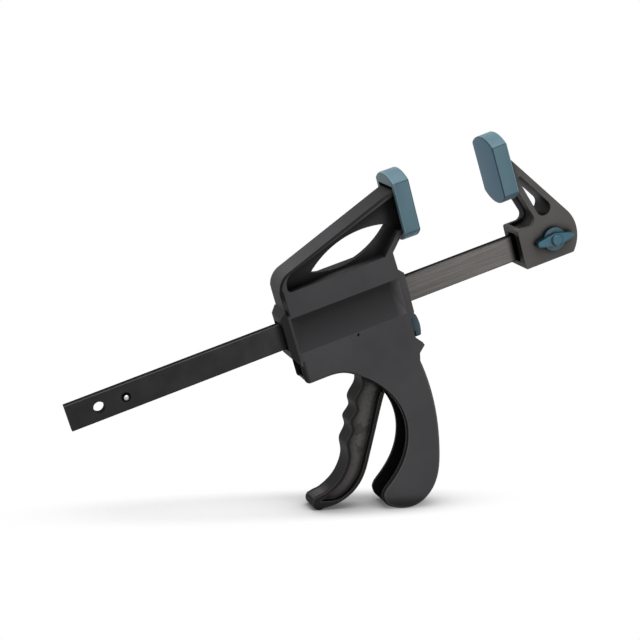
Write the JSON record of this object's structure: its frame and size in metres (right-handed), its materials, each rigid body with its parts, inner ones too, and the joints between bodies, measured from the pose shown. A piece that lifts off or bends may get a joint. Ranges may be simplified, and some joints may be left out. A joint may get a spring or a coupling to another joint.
{
  "type": "quick release bar clamp",
  "caption": "One-handed bar clamp: squeezing a trigger steps a hooked jaw along a flat steel bar towards a fixed jaw; a thumb lever releases it.",
  "frame": {"origin": "centre of the hole at the free end of the bar", "axes": "+X along the bar to the fixed jaw, +Z the side that the jaws stand on, +Y square to the bar's wide face"},
  "size_m": [0.3226, 0.0304, 0.202],
  "materials": {
    "bar_steel": "satin black coated steel",
    "pin_steel": "plain steel",
    "plate_steel": "hardened steel plate",
    "spring_steel": "spring wire",
    "black_nylon": "fine textured moulding",
    "pad_rubber": "soft matt teal",
    "teal_plastic": "satin teal moulding"
  },
  "bodies": {
    "bar_and_fixed_jaw": {"bar": "bar_steel", "bar_stop_pin": "pin_steel", "fixed_jaw": "black_nylon", "fixed_jaw_pad": "pad_rubber", "jaw_nut": "pin_steel"},
    "wing_screw": {"jaw_screw": "pin_steel", "wing_knob": "teal_plastic"},
    "slide": {"movable_jaw": "black_nylon", "movable_jaw_pad": "pad_rubber", "trigger_pin": "pin_steel", "drive_spring": "spring_steel", "brake_spring": "spring_steel"},
    "trigger_lever": {"trigger": "black_nylon"},
    "drive_plates": {"drive_plate_1": "plate_steel", "drive_plate_2": "plate_steel", "drive_plate_3": "plate_steel"},
    "brake": {"brake_plate": "plate_steel", "release_lever": "teal_plastic"}
  },
  "joints": [
    {"name": "jaw_slide", "type": "slide", "parent": "bar_and_fixed_jaw", "child": "slide", "axis": [1, 0, 0], "range_m": [-0.099, 0.0534]},
    {"name": "trigger_squeeze", "type": "hinge", "parent": "slide", "child": "trigger_lever", "pos_m": [0.1546, 0, -0.0126], "axis": [0, -1, 0], "range_deg": [0, 20], "stiffness_Nm_per_rad": 0.3, "springref_deg": -11.46},
    {"name": "drive_plate_shift", "type": "slide", "parent": "slide", "child": "drive_plates", "axis": [-1, 0, 0], "range_m": [0, 0.003], "deforming": ["drive_spring"]},
    {"name": "release_lever_press", "type": "hinge", "parent": "slide", "child": "brake", "pos_m": [0.1856, 0, 0.0132], "axis": [0, 1, 0], "range_deg": [0, 5], "stiffness_Nm_per_rad": 1, "springref_deg": -4.58, "deforming": ["brake_spring"]},
    {"name": "wing_screw_turn", "type": "hinge", "parent": "bar_and_fixed_jaw", "child": "wing_screw", "pos_m": [0.2875, 0, 0], "axis": [0, -1, 0], "continuous": true}
  ],
  "couplings": [
    {"joint": "drive_plate_shift", "follows": "trigger_squeeze", "m_per_rad": 0.0084}
  ]
}
